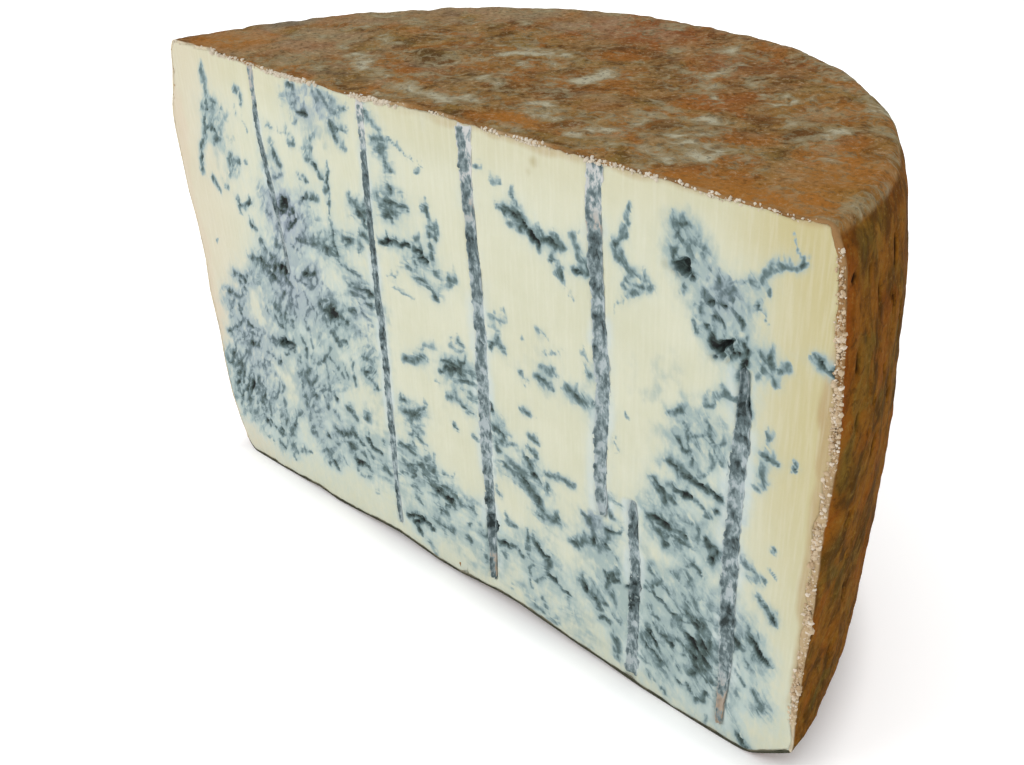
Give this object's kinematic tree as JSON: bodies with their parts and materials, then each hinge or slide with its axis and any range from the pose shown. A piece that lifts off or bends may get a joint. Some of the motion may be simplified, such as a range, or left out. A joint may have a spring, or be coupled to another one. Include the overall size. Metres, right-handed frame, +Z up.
{
  "type": "blue cheese half wheel",
  "caption": "Half wheel of blue-veined cheese with a brown natural rind, cut upright through its middle. Food for a counter, board or table; it stands on its underside.",
  "frame": {"origin": "under the middle of the half wheel, on the surface it stands on", "axes": "+Z up; +X along the cut, to the right as the cut is looked at; -Y out of the cut, so the round rind is at +Y"},
  "size_m": [0.2605, 0.13, 0.1642],
  "materials": {
    "paste": "moist, softly satin, cream-coloured with blue-grey veins",
    "rind": "dry, matte, rusty brown with grey-green patches",
    "mould": "dry, powdery, blue-grey"
  },
  "bodies": {
    "root": {"blue_cheese_half_wheel": "paste"}
  },
  "joints": []
}
